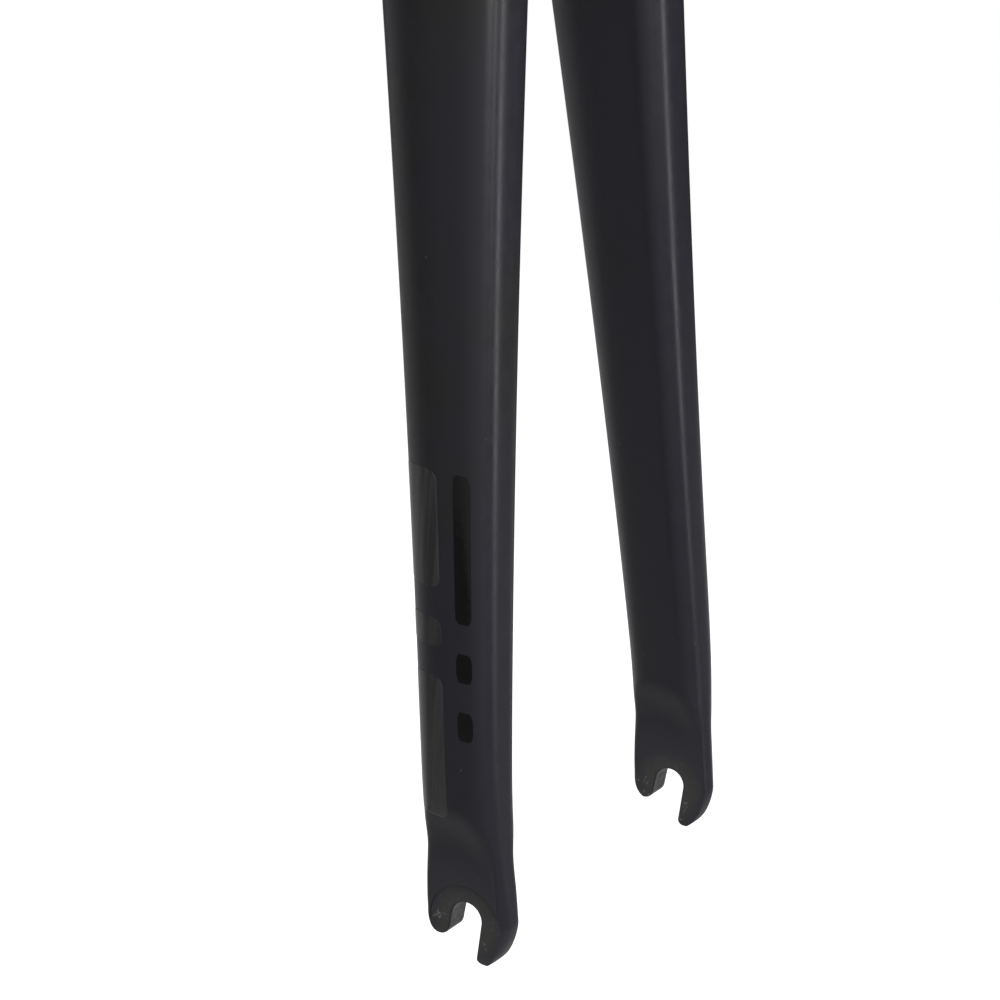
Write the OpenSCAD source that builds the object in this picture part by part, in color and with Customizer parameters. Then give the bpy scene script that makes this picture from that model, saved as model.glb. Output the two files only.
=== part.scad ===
// Front fork for a road bicycle with rim brakes: one hollow carbon moulding that holds
// the steerer tube, the crown, two tapering blades and two open dropouts, with a gloss
// film graphic on the outer side of each blade.
//
// Z runs up the steering axis, from the seat of the lower headset race. The fork points
// forwards along -Y, and +X is the rider's left. Heights named h are measured up from
// the wheel axle, and distances named f are measured forwards from it.

/* [Overall] */
// Height of the race seat above the wheel axle, along the steering axis
axle_to_crown = 367; // [355:1:385]
// Distance of the wheel axle in front of the steering axis
rake = 43; // [38:1:50]
// Gap between the inner faces of the dropouts, which takes the hub
hub_width = 100; // [96:1:110]

/* [Steerer] */
// Length of the steerer above the race seat
steerer_length = 300; // [150:5:350]
// Outside diameter of the straight part of the steerer
steerer_d = 28.6; // [25.4:0.1:30]
// Wall of the straight part of the steerer
steerer_wall = 3.2; // [2.5:0.1:4]
// Height above the race seat at which the taper ends
taper_top = 90; // [50:5:120]
// Diameter of the seat for the lower headset race
race_seat_d = 39.8; // [36:0.1:42]
// Height of the seat for the lower headset race
race_seat_h = 5; // [4:0.5:8]
// Diameter of the collar that the race rests on
collar_d = 49; // [46:0.5:51]
// Diameter of the hollow under the race seat
crown_bore_d = 30; // [26:0.5:31]

/* [Crown] */
// Height of the crown, from the blades' roots to the race seat
crown_h = 67; // [60:1:75]
// Depth of the crown from front to back, at its middle
crown_depth = 52; // [51:0.5:58]
// Drop of the wheel arch's top below the race seat
arch_drop = 25; // [24.5:0.5:28]
// Drop of the brake holes below the race seat
brake_drop = 13; // [12:0.5:13.5]
// Diameter of the brake bolt's hole, in the front wall
brake_bolt_hole_d = 6.1; // [6:0.1:6.5]
// Diameter of the recessed nut's hole, in the back wall
brake_nut_hole_d = 8; // [7.5:0.1:8.4]
// Wall of the crown above the wheel arch
crown_wall = 4.5; // [3.5:0.5:5]

/* [Blades] */
// Distance between the blades' middles at their roots
root_spacing = 66; // [62:0.5:70]
// Distance of a blade's root in front of the steering axis
root_forward = 7.1; // [4:0.1:9]
// Depth of a blade at its root, from front edge to back edge
root_depth = 44.8; // [42:0.1:48]
// Depth of a blade above the dropout
foot_depth = 23.3; // [22:0.1:25]
// Width of a blade at its root, from inner face to outer face
root_width = 24.2; // [21:0.1:25]
// Width of a blade at the dropout, before its faces are planed flat
foot_width = 14.4; // [12.4:0.1:15]
// Wall of a blade
blade_wall = 2.1; // [1.6:0.1:2.8]

/* [Dropouts] */
// Thickness of a dropout
dropout_t = 8; // [7:0.1:9]
// Distance from the axle to a dropout's front edge
dropout_front = 12; // [11.5:0.1:14]
// Distance from the axle to a dropout's back edge
dropout_back = 12.8; // [12.4:0.1:15]
// Diameter of the slot's round end, which takes the axle
axle_seat_d = 9.1; // [9.1:0.1:10]
// Width of the slot below its round end
slot_w = 9; // [8.6:0.1:9]
// Lean of the slot, with its mouth towards the back
slot_lean = 7; // [0:0.5:9]
// Lean of each of the slot's walls away from its middle, so that the mouth is wider
slot_flare = 1.5; // [0:0.5:3]
// Diameter of the round seat for the quick-release nut
nut_seat_d = 21.6; // [19:0.1:22]
// Drop of that seat's middle below the axle
nut_seat_drop = 1.5; // [0:0.1:2]
// Depth of that seat below the outer face
nut_seat_depth = 0.6; // [0.3:0.1:1]
// Drop of the front tip below the axle
front_tip_drop = 12.3; // [11:0.1:14]
// Drop of the back tip below the axle
back_tip_drop = 6.8; // [6.5:0.1:9]

/* [Graphic] */
// Height of the graphic's lower end above the axle
graphic_low = 28; // [26:1:34]
// Length of the graphic
graphic_length = 90; // [70:1:110]
// Thickness of the film
film_t = 0.15; // [0.1:0.01:0.3]

/* [Hidden] */

carbon_black = [0.035, 0.035, 0.039];
film_black = [0.012, 0.012, 0.014];

// Points around a blade's skin, and around its hollow
skin_n = 32;
hollow_n = 16;

// The blades stand upright at the dropouts, bend inwards at the knee, and are fullest at
// this share of their depth, from the back
root_h = axle_to_crown - crown_h;
foot_x = (hub_width + dropout_t) / 2;
foot_h = 20;
knee_h = 34;
knee_soft = 7;
taper_power = 1.6;
fullest_share = 0.64;

// Each corner of a section is a superellipse with its own power, and the outer front
// corner grows rounder towards the foot
outer_front_n = 3.4;
outer_foot_n = 1.8;
corner_change_h = 60;
inner_front_n = 3.1;
back_n = 2.6;
crown_n = 3;

// The planed faces of a dropout end in a round ramp at this distance from a point behind
// and above the axle, and their edges are soft
plane_r = 15.5;
plane_f = -5;
plane_h = 3;
ramp_r = 9;
edge_soft = 0.8;

// How far the tips lie from the axle, and how their outlines are rounded
front_tip_f = 5.2;
front_tip_n = 1.75;
front_tip_r = 1.7;
back_tip_f = 8;
back_tip_n = 2.2;
back_tip_r = 3.2;
least_tip = 0.1;

// The hollow of a blade ends above the dropout, and narrows into the crown
hollow_foot = 26;
neck_gap = 1.5;

// The collar's skirt spreads into the crown, the steerer's edges are bevelled, and each
// brake hole has a flat round it
skirt_top = 4;
skirt_h = 13.5;
skirt_flare = 1.1;
bevel = 0.6;
crown_bore_end = arch_drop - 7;
brake_flat_d = 15;
brake_flat_y = crown_depth / 2 - 1.6;

// Longer than any cut has to reach
reach = 60;

// Small helpers
function mix(a, b, t) = a + (b - a) * t;
function ease(t) = let (c = min(max(t, 0), 1)) c * c * (3 - 2 * c);
function soft_min(a, b, k) = let (d = max(k - abs(a - b), 0) / k) min(a, b) - d * d * k / 4;
function soft_max(a, b, k) = -soft_min(-a, -b, k);
function signed_pow(v, p) = sign(v) * pow(abs(v), p);
function bezier(p, t) =
    let (s = 1 - t)
    s * s * s * p[0] + 3 * s * s * t * p[1] + 3 * s * t * t * p[2] + t * t * t * p[3];
function reversed(list) = [for (i = [len(list) - 1 : -1 : 0]) list[i]];
function arc(c, r, a, b, n) =
    [for (i = [0 : n]) let (t = mix(a, b, i / n)) c + r * [cos(t), sin(t)]];

// A blade's middle, width, depth and edges at a height above the axle
function knee(h) = (h - knee_h + sqrt(pow(h - knee_h, 2) + pow(knee_soft, 2))) / 2;
function middle_x(h) =
    mix(foot_x, root_spacing / 2, (knee(h) - knee(0)) / (knee(root_h) - knee(0)));
function middle_f(h) = (root_forward - rake) * h / root_h;
function width(h) = mix(foot_width, root_width, h / root_h);
function half_depth(h, at_axle) =
    let (rise = max(h - foot_h, 0) / (root_h - foot_h))
    mix(mix(foot_depth, root_depth, pow(rise, taper_power)) / 2, at_axle,
        ease(1 - h / foot_h));
function front_edge(h) =
    h > 0 ? middle_f(h) + half_depth(h, dropout_front)
    : mix(front_tip_f, dropout_front,
          pow(max(1 - pow(-h / front_tip_drop, front_tip_n), 0), 1 / front_tip_n));
function back_edge(h) =
    h > 0 ? middle_f(h) - half_depth(h, dropout_back)
    : h > -back_tip_drop
      ? -mix(back_tip_f, dropout_back,
             pow(1 - pow(-h / back_tip_drop, back_tip_n), 1 / back_tip_n))
    : mix(-back_tip_f, front_tip_f - least_tip,
          (-back_tip_drop - h) / (front_tip_drop - back_tip_drop));

// One corner's power, by which side of the section an angle points to
function corner_n(a, h) =
    sin(a) < 0 ? back_n
    : cos(a) > 0 ? mix(outer_foot_n, outer_front_n, ease(h / corner_change_h))
    : inner_front_n;

// How far a blade may stand out past the planed faces
function ramp(f, h) =
    pow(max(norm([f - plane_f, max(h - plane_h, 0)]) - plane_r, 0), 2) / (2 * ramp_r);

// A point at angle a of a blade's section on the +X side, at height h, set in by a wall
function blade_point(h, a, wall) =
    let (
        p = 2 / corner_n(a, h),
        front = front_edge(h) - wall,
        back = back_edge(h) + wall,
        full = mix(back, front, fullest_share),
        f = full + (sin(a) > 0 ? front - full : full - back) * signed_pow(sin(a), p),
        x = middle_x(h) + (width(h) / 2 - wall) * signed_pow(cos(a), p),
        outer = hub_width / 2 + dropout_t + ramp(f, h) - wall,
        inner = hub_width / 2 - ramp(f, h) + wall
    )
    [soft_max(soft_min(x, outer, edge_soft), inner, edge_soft), -rake - f,
     h - axle_to_crown];

// The crown's inner and outer outlines in the front view, as [x, z], from a blade's root
// at t = 0 to the steering axis at t = 1
shoulder_t = 0.6;
neck_t = 0.86;
root_in = [middle_x(root_h) - root_width / 2, -crown_h];
root_out = [middle_x(root_h) + root_width / 2, -crown_h];
shoulder = [root_out[0] - 8, -crown_h + 40];
neck = [collar_d / 2 + 1, -10];
crown_top = -8.5;
function arch_inner(t) =
    bezier([root_in, root_in + [-2.2, 20], [root_in[0] - 3, -arch_drop], [0, -arch_drop]], t);
function arch_outer(t) =
    t < shoulder_t
    ? bezier([root_out, root_out + [-1.4, 20], shoulder + [3.5, -8], shoulder], t / shoulder_t)
    : t < neck_t
    ? bezier([shoulder, shoulder + [-3, 7], neck + [3, -4], neck],
             (t - shoulder_t) / (neck_t - shoulder_t))
    : mix(neck, [0, crown_top], (t - neck_t) / (1 - neck_t));

// How far the front and back edges have gone from a blade's to the crown's at t
function sweep(t) = 1 - pow(1 - t, 1.6);

// A point at angle a of the crown's section at t, set in by one wall above and below it
// and another in front of and behind it
function arch_point(t, a, wall, side_wall) =
    let (
        p = 2 / mix(corner_n(a, root_h), crown_n, ease(t)),
        inner = arch_inner(t),
        outer = arch_outer(t),
        across = outer - inner,
        spread = across / 2 * (1 - 2 * wall / norm(across)) * signed_pow(cos(a), p),
        front = mix(front_edge(root_h), crown_depth / 2 - rake, sweep(t)) - side_wall,
        back = mix(back_edge(root_h), -crown_depth / 2 - rake, sweep(t)) + side_wall,
        full = mix(back, front, mix(fullest_share, 0.5, ease(t))),
        f = full + (sin(a) > 0 ? front - full : full - back) * signed_pow(sin(a), p),
        q = (inner + outer) / 2 + spread
    )
    [q[0], -rake - f, q[1]];

// Heights of the rings along a blade: close together at the tips and the planed faces,
// on the ends of the graphic's blocks, and wide apart above
tip_rings = [for (s = [1, 0.97, 0.9, 0.8, 0.69, 0.59, 0.44, 0.22]) -front_tip_drop * s];
foot_rings = [for (i = [0 : 12]) hollow_foot * i / 13];
film_twelfths = [0, 1.5, 3, 4, 5, 6, 7, 8, 10, 12];
film_rings = [for (s = film_twelfths) graphic_low + graphic_length * s / 12];
upper_rings = [for (i = [1 : 5]) mix(graphic_low + graphic_length, root_h, i / 6)];
blade_rings = concat(tip_rings, foot_rings, film_rings, upper_rings);
arch_steps = 14;

function blade_ring(h, n, wall) = [for (j = [0 : n - 1]) blade_point(h, 360 * j / n, wall)];
function arch_ring(t, n, wall, side_wall) =
    [for (j = [0 : n - 1]) arch_point(t, 360 * j / n, wall, side_wall)];
function both_sides(half) =
    concat(half, reversed([for (r = half) [for (p = r) [-p[0], p[1], p[2]]]]));

// A closed skin over rings of points, with a fan over each end. The diagonals of its
// faces turn over after one of the rings, so that both halves of the fork match.
module skin(rings, turn = 0) {
    n = len(rings[0]);
    last = len(rings) - 1;
    sides = [for (k = [0 : last - 1], j = [0 : n - 1])
             let (a = k * n + j, b = k * n + (j + 1) % n)
             each k < turn
                  ? [[a, b, a + n], [b, b + n, a + n]]
                  : [[a, b, b + n], [a, b + n, a + n]]];
    ends = [for (j = [1 : n - 2])
            each [[0, j + 1, j], [last * n, last * n + j, last * n + j + 1]]];
    polyhedron([for (r = rings) each r], concat(sides, ends), convexity = 8);
}

// The blades and the crown, as one skin from tip to tip
module wishbone() {
    skin(both_sides(concat(
        [for (h = blade_rings) blade_ring(h, skin_n, 0)],
        [for (i = [0 : arch_steps - 1]) arch_ring((i + 0.5) / arch_steps, skin_n, 0, 0)]
    )), len(blade_rings) + arch_steps);
}

// The hollow from one blade through the crown to the other
module wishbone_hollow() {
    low_steps = 7;
    high_steps = 9;
    neck_wall = (crown_depth - crown_bore_d) / 2 + neck_gap;
    skin(both_sides(concat(
        [for (i = [0 : low_steps - 1])
         blade_ring(mix(hollow_foot, root_h, i / low_steps), hollow_n, blade_wall)],
        [for (i = [0 : high_steps - 1])
         let (t = (i + 0.5) / high_steps)
         arch_ring(t, hollow_n, mix(blade_wall, crown_wall, ease(t)),
                   mix(blade_wall, neck_wall, ease(t)))]
    )), low_steps + high_steps);
}

// The steerer, the race seat and the collar, turned about the steering axis
module steerer() {
    rotate_extrude($fn = 96)
    polygon([
        [0, -skirt_h],
        [collar_d / 2 + skirt_flare, -skirt_h],
        [collar_d / 2, -skirt_top],
        [collar_d / 2, -bevel],
        [collar_d / 2 - bevel, 0],
        [race_seat_d / 2, 0],
        [race_seat_d / 2, race_seat_h],
        [race_seat_d / 2 - bevel, race_seat_h + bevel],
        [steerer_d / 2, taper_top],
        [steerer_d / 2, steerer_length - bevel],
        [steerer_d / 2 - bevel, steerer_length],
        [0, steerer_length]
    ]);
}

// The hollow through the steerer
module steerer_hollow() {
    inner = steerer_d / 2 - steerer_wall;
    rotate_extrude($fn = 96)
    polygon([
        [0, -crown_bore_end],
        [crown_bore_d / 2, -crown_bore_end],
        [crown_bore_d / 2, 0],
        [inner, taper_top],
        [inner, steerer_length + bevel],
        [0, steerer_length + bevel]
    ]);
}

// The brake's bolt hole in the front wall and its nut's hole in the back wall, each with
// a flat round it
module brake_hole(d) {
    cylinder(d = d, h = reach, $fn = 48);
    translate([0, 0, brake_flat_y])
    cylinder(d = brake_flat_d, h = reach, $fn = 64);
}
module brake_holes() {
    translate([0, 0, -brake_drop]) {
        rotate([90, 0, 0])
        brake_hole(brake_bolt_hole_d);
        rotate([-90, 0, 0])
        brake_hole(brake_nut_hole_d);
    }
}

// The slot's outline from the side, in f and h: straight walls that lean back, and
// the rounded tips beside the mouth
module slot_outline() {
    front_lean = slot_lean - slot_flare;
    back_lean = slot_lean + slot_flare;
    function wall_point(lean, side, run, off) =
        [side * off * cos(lean) - run * sin(lean), -side * off * sin(lean) - run * cos(lean)];
    front_run = front_tip_drop - 1.5 * front_tip_r;
    back_run = back_tip_drop - 0.7 * back_tip_r;
    front_c = wall_point(front_lean, 1, front_run, slot_w / 2 + front_tip_r);
    back_c = wall_point(back_lean, -1, back_run, slot_w / 2 + back_tip_r);
    polygon(concat(
        [wall_point(front_lean, 1, 0, slot_w / 2)],
        arc(front_c, front_tip_r, 180 - front_lean, 270, 6),
        [[reach / 2, front_c[1] - front_tip_r], [reach / 2, -reach / 2],
         [-reach / 2, -reach / 2], [-reach / 2, back_c[1] - back_tip_r]],
        arc(back_c, back_tip_r, -90, -back_lean, 8),
        [wall_point(back_lean, -1, 0, slot_w / 2)]
    ));
}

// What is cut from one dropout: the slot with its round end, and the nut's seat
module dropout_cuts() {
    translate([hub_width / 2, -rake, -axle_to_crown]) {
        translate([reach / 2, 0, 0])
        rotate([90, 0, -90]) {
            linear_extrude(reach)
            slot_outline();
            cylinder(d = axle_seat_d, h = reach, $fn = 64);
        }
        translate([dropout_t - nut_seat_depth, 0, -nut_seat_drop])
        rotate([0, 90, 0])
        cylinder(d = nut_seat_d, h = reach / 2, $fn = 96);
    }
}

// The whole moulding
module fork() {
    color(carbon_black)
    difference() {
        union() {
            wishbone();
            steerer();
        }
        union() {
            wishbone_hollow();
            steerer_hollow();
        }
        brake_holes();
        dropout_cuts();
        mirror([1, 0, 0])
        dropout_cuts();
    }
}

// A block of film on a blade's outer side, between two rows of rings along it and
// between two points around it
module film_block(row_a, row_b, point_a, point_b) {
    function edge(row, points, wall) =
        [for (j = points) blade_point(film_rings[row], 360 * j / skin_n, wall)];
    points = [for (j = [point_a : point_b]) j];
    skin([for (row = [row_a : row_b])
          concat(edge(row, points, -film_t), edge(row, reversed(points), 0))]);
}

// The graphic is a broad band and a narrow one, each broken into blocks
module graphic() {
    color(film_black) {
        film_block(0, 4, -6, -1);
        film_block(5, 6, -6, -1);
        film_block(7, 9, -6, -1);
        film_block(2, 3, 0, 2);
        film_block(4, 5, 0, 2);
        film_block(6, 9, 0, 2);
    }
}

module graphic_right() {
    mirror([1, 0, 0])
    graphic();
}

module graphic_left() {
    graphic();
}

fork();
graphic_right();
graphic_left();
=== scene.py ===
# A front fork for a road bicycle. One hollow carbon moulding holds the steerer, the crown
# and both blades, ends in two open dropouts, and carries gloss film low on the outer side
# of each blade. Sizes are in millimetres, h is up from the axle and f is forwards of it.
from math import cos, pi, radians, sin

import bmesh
import bpy
from mathutils import Matrix, Vector


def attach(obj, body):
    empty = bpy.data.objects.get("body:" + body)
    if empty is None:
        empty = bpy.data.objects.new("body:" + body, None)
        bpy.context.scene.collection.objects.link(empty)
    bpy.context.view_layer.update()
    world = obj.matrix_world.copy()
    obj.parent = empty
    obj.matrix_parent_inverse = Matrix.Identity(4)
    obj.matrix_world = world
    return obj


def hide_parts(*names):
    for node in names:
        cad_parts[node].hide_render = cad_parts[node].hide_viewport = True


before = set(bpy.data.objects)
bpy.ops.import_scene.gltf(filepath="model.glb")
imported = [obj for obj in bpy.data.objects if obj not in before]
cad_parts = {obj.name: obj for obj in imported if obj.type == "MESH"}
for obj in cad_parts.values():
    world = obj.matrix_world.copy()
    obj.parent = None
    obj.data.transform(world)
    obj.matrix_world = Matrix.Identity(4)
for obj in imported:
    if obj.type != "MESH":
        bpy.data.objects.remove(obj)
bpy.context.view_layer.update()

# Blades and crown. The two blades and the crown are laid up together from carbon sheet in
# one mould, so the skin is fair from tip to tip. Every section across it is a
# superellipse, planed flat on both sides at the dropouts, where the hub is clamped.
MM = 0.001
SKIN = {
    "Axle to crown": 367.0,
    "Rake": 43.0,
    "Hub width": 100.0,
    "Dropout thickness": 8.0,
    "Crown height": 67.0,
    "Crown depth": 52.0,
    "Arch drop": 25.0,
    "Root half spacing": 33.0,
    "Root forward": 7.1,
    "Root depth": 44.8,
    "Foot depth": 23.3,
    "Foot height": 20.0,
    "Root width": 24.2,
    "Foot width": 14.4,
    "Depth taper": 1.6,
    "Knee height": 34.0,
    "Knee softness": 7.0,
    "Fullest share": 0.64,
    "Outer front corner": 3.4,
    "Outer foot corner": 1.8,
    "Corner change": 60.0,
    "Inner front corner": 3.1,
    "Back corner": 2.6,
    "Crown corner": 3.0,
    "Planed radius": 15.5,
    "Planed middle f": -5.0,
    "Planed middle h": 3.0,
    "Ramp radius": 13.0,
    "Ramp softness": 3.6,
    "Edge softness": 0.8,
    "Dropout front": 12.0,
    "Dropout back": 12.8,
    "Front tip f": 5.2,
    "Front tip drop": 12.3,
    "Front tip corner": 1.75,
    "Back tip f": 8.0,
    "Back tip drop": 6.8,
    "Back tip corner": 2.2,
    "Collar radius": 24.5,
}


class Measure:
    """A number that varies over the skin, built up from Math nodes."""

    def __init__(self, tree, socket):
        self.tree = tree
        self.socket = socket

    def worked_out(self, operation, *values):
        node = self.tree.nodes.new("ShaderNodeMath")
        node.operation = operation
        for slot, value in zip(node.inputs, values):
            if isinstance(value, Measure):
                self.tree.links.new(value.socket, slot)
            else:
                slot.default_value = value
        return Measure(self.tree, node.outputs[0])

    def step(self, operation, *others):
        return self.worked_out(operation, self, *others)

    def __add__(self, other):
        return self.step("ADD", other)

    def __sub__(self, other):
        return self.step("SUBTRACT", other)

    def __mul__(self, other):
        return self.step("MULTIPLY", other)

    def __truediv__(self, other):
        return self.step("DIVIDE", other)

    def __pow__(self, other):
        return self.step("POWER", other)

    def __neg__(self):
        return self * -1

    def __rsub__(self, other):
        return self.worked_out("SUBTRACT", other, self)

    def __rtruediv__(self, other):
        return self.worked_out("DIVIDE", other, self)

    __radd__ = __add__
    __rmul__ = __mul__

    def above(self, other):
        return self.step("GREATER_THAN", other)

    def most(self, other):
        return self.step("MAXIMUM", other)

    def least(self, other):
        return self.step("MINIMUM", other)


def mix(a, b, share):
    return a + (b - a) * share


def choose(test, yes, no):
    """One of two numbers, by a test that is 1 or 0."""
    return mix(no, yes, test)


def fair(share):
    """A share from 0 to 1 that starts and ends level."""
    share = share.most(0).least(1)
    return share * share * (3 - 2 * share)


def soft_least(a, b, softness):
    """The lesser of two numbers, with the corner between them rounded."""
    near = (softness - (a - b).step("ABSOLUTE")).most(0) / softness
    return a.least(b) - near * near * softness / 4


def soft_most(a, b, softness):
    return -soft_least(-a, -b, softness)


def curve(start, pull, pull_back, end, share):
    """A cubic curve between two spots, each with a handle that is measured from it."""
    rest = 1 - share
    weights = (rest * rest * rest, rest * rest * share * 3, rest * share * share * 3,
               share * share * share)
    spots = (start, [a + b for a, b in zip(start, pull)],
             [a + b for a, b in zip(end, pull_back)], end)
    return [sum(spot[axis] * w for spot, w in zip(spots, weights)) for axis in (0, 1)]


def knee(size, h):
    """How far a height is past the knee, eased in below it."""
    off = h - size["Knee height"]
    return (off + (off * off + size["Knee softness"] ** 2).step("SQRT")) / 2


def root_height(size):
    return size["Axle to crown"] - size["Crown height"]


def middle_x(size, h):
    foot = (size["Hub width"] + size["Dropout thickness"]) / 2
    low = knee(size, 0)
    rise = (knee(size, h) - low) / (knee(size, root_height(size)) - low)
    return mix(foot, size["Root half spacing"], rise)


def half_depth(size, h, at_axle):
    foot = size["Foot height"]
    rise = (h - foot).most(0) / (root_height(size) - foot)
    full = mix(size["Foot depth"], size["Root depth"], rise ** size["Depth taper"]) / 2
    return mix(full, at_axle, fair(1 - h / foot))


TIP_OVERLAP = 0.1


def blade_edges(size, h):
    """The front and back edges of a blade at a height above the axle."""
    middle = (size["Root forward"] - size["Rake"]) * h / root_height(size)
    tip_f = size["Front tip f"]
    drop = size["Front tip drop"]
    corner = size["Front tip corner"]
    tip_front = mix(tip_f, size["Dropout front"],
                    (1 - (-h / drop) ** corner).most(0) ** (1 / corner))
    front = choose(h.above(0), middle + half_depth(size, h, size["Dropout front"]), tip_front)
    back_drop = size["Back tip drop"]
    corner = size["Back tip corner"]
    tip_back = -mix(size["Back tip f"], size["Dropout back"],
                    (1 - (-h / back_drop) ** corner).most(0) ** (1 / corner))
    below = mix(-size["Back tip f"], tip_f - TIP_OVERLAP,
                ((-back_drop - h) / (drop - back_drop)).most(0))
    back = choose(h.above(0), middle - half_depth(size, h, size["Dropout back"]),
                  choose(h.above(-back_drop), tip_back, below))
    return front, back


def corner_power(size, across, along, h):
    """The power of the superellipse in the quarter that a point lies in."""
    outer = mix(size["Outer foot corner"], size["Outer front corner"],
                fair(h / size["Corner change"]))
    return choose(along.above(0),
                  choose(across.above(0), outer, size["Inner front corner"]),
                  size["Back corner"])


def round_off(across, along, power):
    """Moves a point of the unit circle onto the superellipse of that power."""
    reach = (across.step("ABSOLUTE") ** power + along.step("ABSOLUTE") ** power) ** (-1 / power)
    return across * reach, along * reach


def section(front, back, fullest, along):
    """The place along the depth, by how far forwards or back of the fullest point it is."""
    full = mix(back, front, fullest)
    return full + along * choose(along.above(0), front - full, full - back)


SOFTENING_LOW_H = 8
SOFTENING_RISE = 12


def blade_point(size, h, turn, wall):
    """A point of a blade's section at height h, as x, f and height, set in by a wall."""
    across, along = turn.step("COSINE"), turn.step("SINE")
    across, along = round_off(across, along, corner_power(size, across, along, h))
    front, back = blade_edges(size, h)
    f = section(front - wall, back + wall, size["Fullest share"], along)
    half_width = mix(size["Foot width"], size["Root width"], h / root_height(size)) / 2
    x = middle_x(size, h) + (half_width - wall) * across
    off_f = f - size["Planed middle f"]
    off_h = (h - size["Planed middle h"]).most(0)
    past = ((off_f * off_f + off_h * off_h).step("SQRT") - size["Planed radius"]).most(0)
    ramp = past * past / (size["Ramp radius"] * 2)
    half_hub = size["Hub width"] / 2
    outer = half_hub + size["Dropout thickness"] + ramp - wall
    inner = half_hub - ramp + wall
    soft = mix(size["Edge softness"], size["Ramp softness"],
               fair((h - SOFTENING_LOW_H) / SOFTENING_RISE))
    return soft_most(soft_least(x, outer, soft), inner, soft), f, h


SHOULDER_SHARE = 0.6
SHOULDER_IN = 8
SHOULDER_RISE = 40
NECK_SHARE = 0.86
NECK_CLEARANCE = 1
NECK_Z = -10
SADDLE_Z = -8.5
INNER_ROOT_PULL = (-2.2, 20)
INNER_CROWN_PULL = 3
OUTER_ROOT_PULL = (-1.4, 20)
SHOULDER_ROOT_PULL = (3.5, -8)
SHOULDER_NECK_PULL = (-3, 7)
NECK_PULL = (4, -1.2)


def arch_outlines(size, t):
    """The crown's inner and outer outlines, from a blade's root to the steering axis."""
    half_root = size["Root half spacing"]
    half_width = size["Root width"] / 2
    low = -size["Crown height"]
    top = -size["Arch drop"]
    inner_x, outer_x = half_root - half_width, half_root + half_width
    inner = curve((inner_x, low), INNER_ROOT_PULL, (inner_x - INNER_CROWN_PULL, 0), (0, top), t)
    shoulder = (outer_x - SHOULDER_IN, low + SHOULDER_RISE)
    neck = (size["Collar radius"] + NECK_CLEARANCE, NECK_Z)
    rise = curve((outer_x, low), OUTER_ROOT_PULL, SHOULDER_ROOT_PULL, shoulder,
                 t / SHOULDER_SHARE)
    bend = curve(shoulder, SHOULDER_NECK_PULL, NECK_PULL, neck,
                 (t - SHOULDER_SHARE) / (NECK_SHARE - SHOULDER_SHARE))
    over = (t - NECK_SHARE) / (1 - NECK_SHARE)
    saddle = (mix(neck[0], 0, over), mix(NECK_Z, SADDLE_Z, over))
    flank = [choose(t.above(SHOULDER_SHARE), b, r) for b, r in zip(bend, rise)]
    return inner, [choose(t.above(NECK_SHARE), a, b) for a, b in zip(saddle, flank)]


SWEEP_POWER = 1.6


def arch_point(size, t, turn):
    """A point of the crown's section at t, as x, f and height above the axle."""
    across, along = turn.step("COSINE"), turn.step("SINE")
    root_h = root_height(size)
    power = mix(corner_power(size, across, along, root_h), size["Crown corner"], fair(t))
    across, along = round_off(across, along, power)
    inner, outer = arch_outlines(size, t)
    front, back = blade_edges(size, root_h)
    sweep = 1 - (1 - t) ** SWEEP_POWER
    half_crown = size["Crown depth"] / 2
    f = section(mix(front, half_crown - size["Rake"], sweep),
                mix(back, -half_crown - size["Rake"], sweep),
                mix(size["Fullest share"], 0.5, fair(t)), along)
    x, z = [(i + o) / 2 + (o - i) / 2 * across for i, o in zip(inner, outer)]
    return x, f, z + size["Axle to crown"]


def begin_tree(name, sizes):
    """A Geometry Nodes tree with a named input for each size, and those inputs."""
    tree = bpy.data.node_groups.new(name, "GeometryNodeTree")
    tree.is_modifier = True
    tree.interface.new_socket("Geometry", in_out="INPUT", socket_type="NodeSocketGeometry")
    tree.interface.new_socket("Geometry", in_out="OUTPUT", socket_type="NodeSocketGeometry")
    for size_name, value in sizes.items():
        socket = tree.interface.new_socket(size_name, in_out="INPUT",
                                           socket_type="NodeSocketFloat")
        socket.default_value = value
    tree.interface.new_socket("Finish", in_out="INPUT", socket_type="NodeSocketMaterial")
    given = tree.nodes.new("NodeGroupInput")
    return tree, {n: Measure(tree, given.outputs[n]) for n in sizes}, given


def sheet_of_points(tree, rows, around):
    """A grid whose place along and around, from 0 to 1, is read from its points."""
    grid = tree.nodes.new("GeometryNodeMeshGrid")
    grid.inputs["Size X"].default_value = 1
    grid.inputs["Size Y"].default_value = 1
    grid.inputs["Vertices X"].default_value = rows
    grid.inputs["Vertices Y"].default_value = around + 1
    place = tree.nodes.new("GeometryNodeInputPosition")
    parts = tree.nodes.new("ShaderNodeSeparateXYZ")
    tree.links.new(place.outputs[0], parts.inputs[0])
    along, around = (Measure(tree, parts.outputs[axis]) + 0.5 for axis in ("X", "Y"))
    return grid.outputs["Mesh"], along, around


def place_points(tree, mesh, size, x, f, h):
    """Sets a grid's points in the fork's frame, in metres."""
    spot = tree.nodes.new("ShaderNodeCombineXYZ")
    for slot, value in zip(spot.inputs, (x, -f - size["Rake"], h - size["Axle to crown"])):
        tree.links.new((value * MM).socket, slot)
    move = tree.nodes.new("GeometryNodeSetPosition")
    tree.links.new(mesh, move.inputs["Geometry"])
    tree.links.new(spot.outputs[0], move.inputs["Position"])
    return move.outputs["Geometry"]


SEAM_GAP = 0.01


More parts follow.
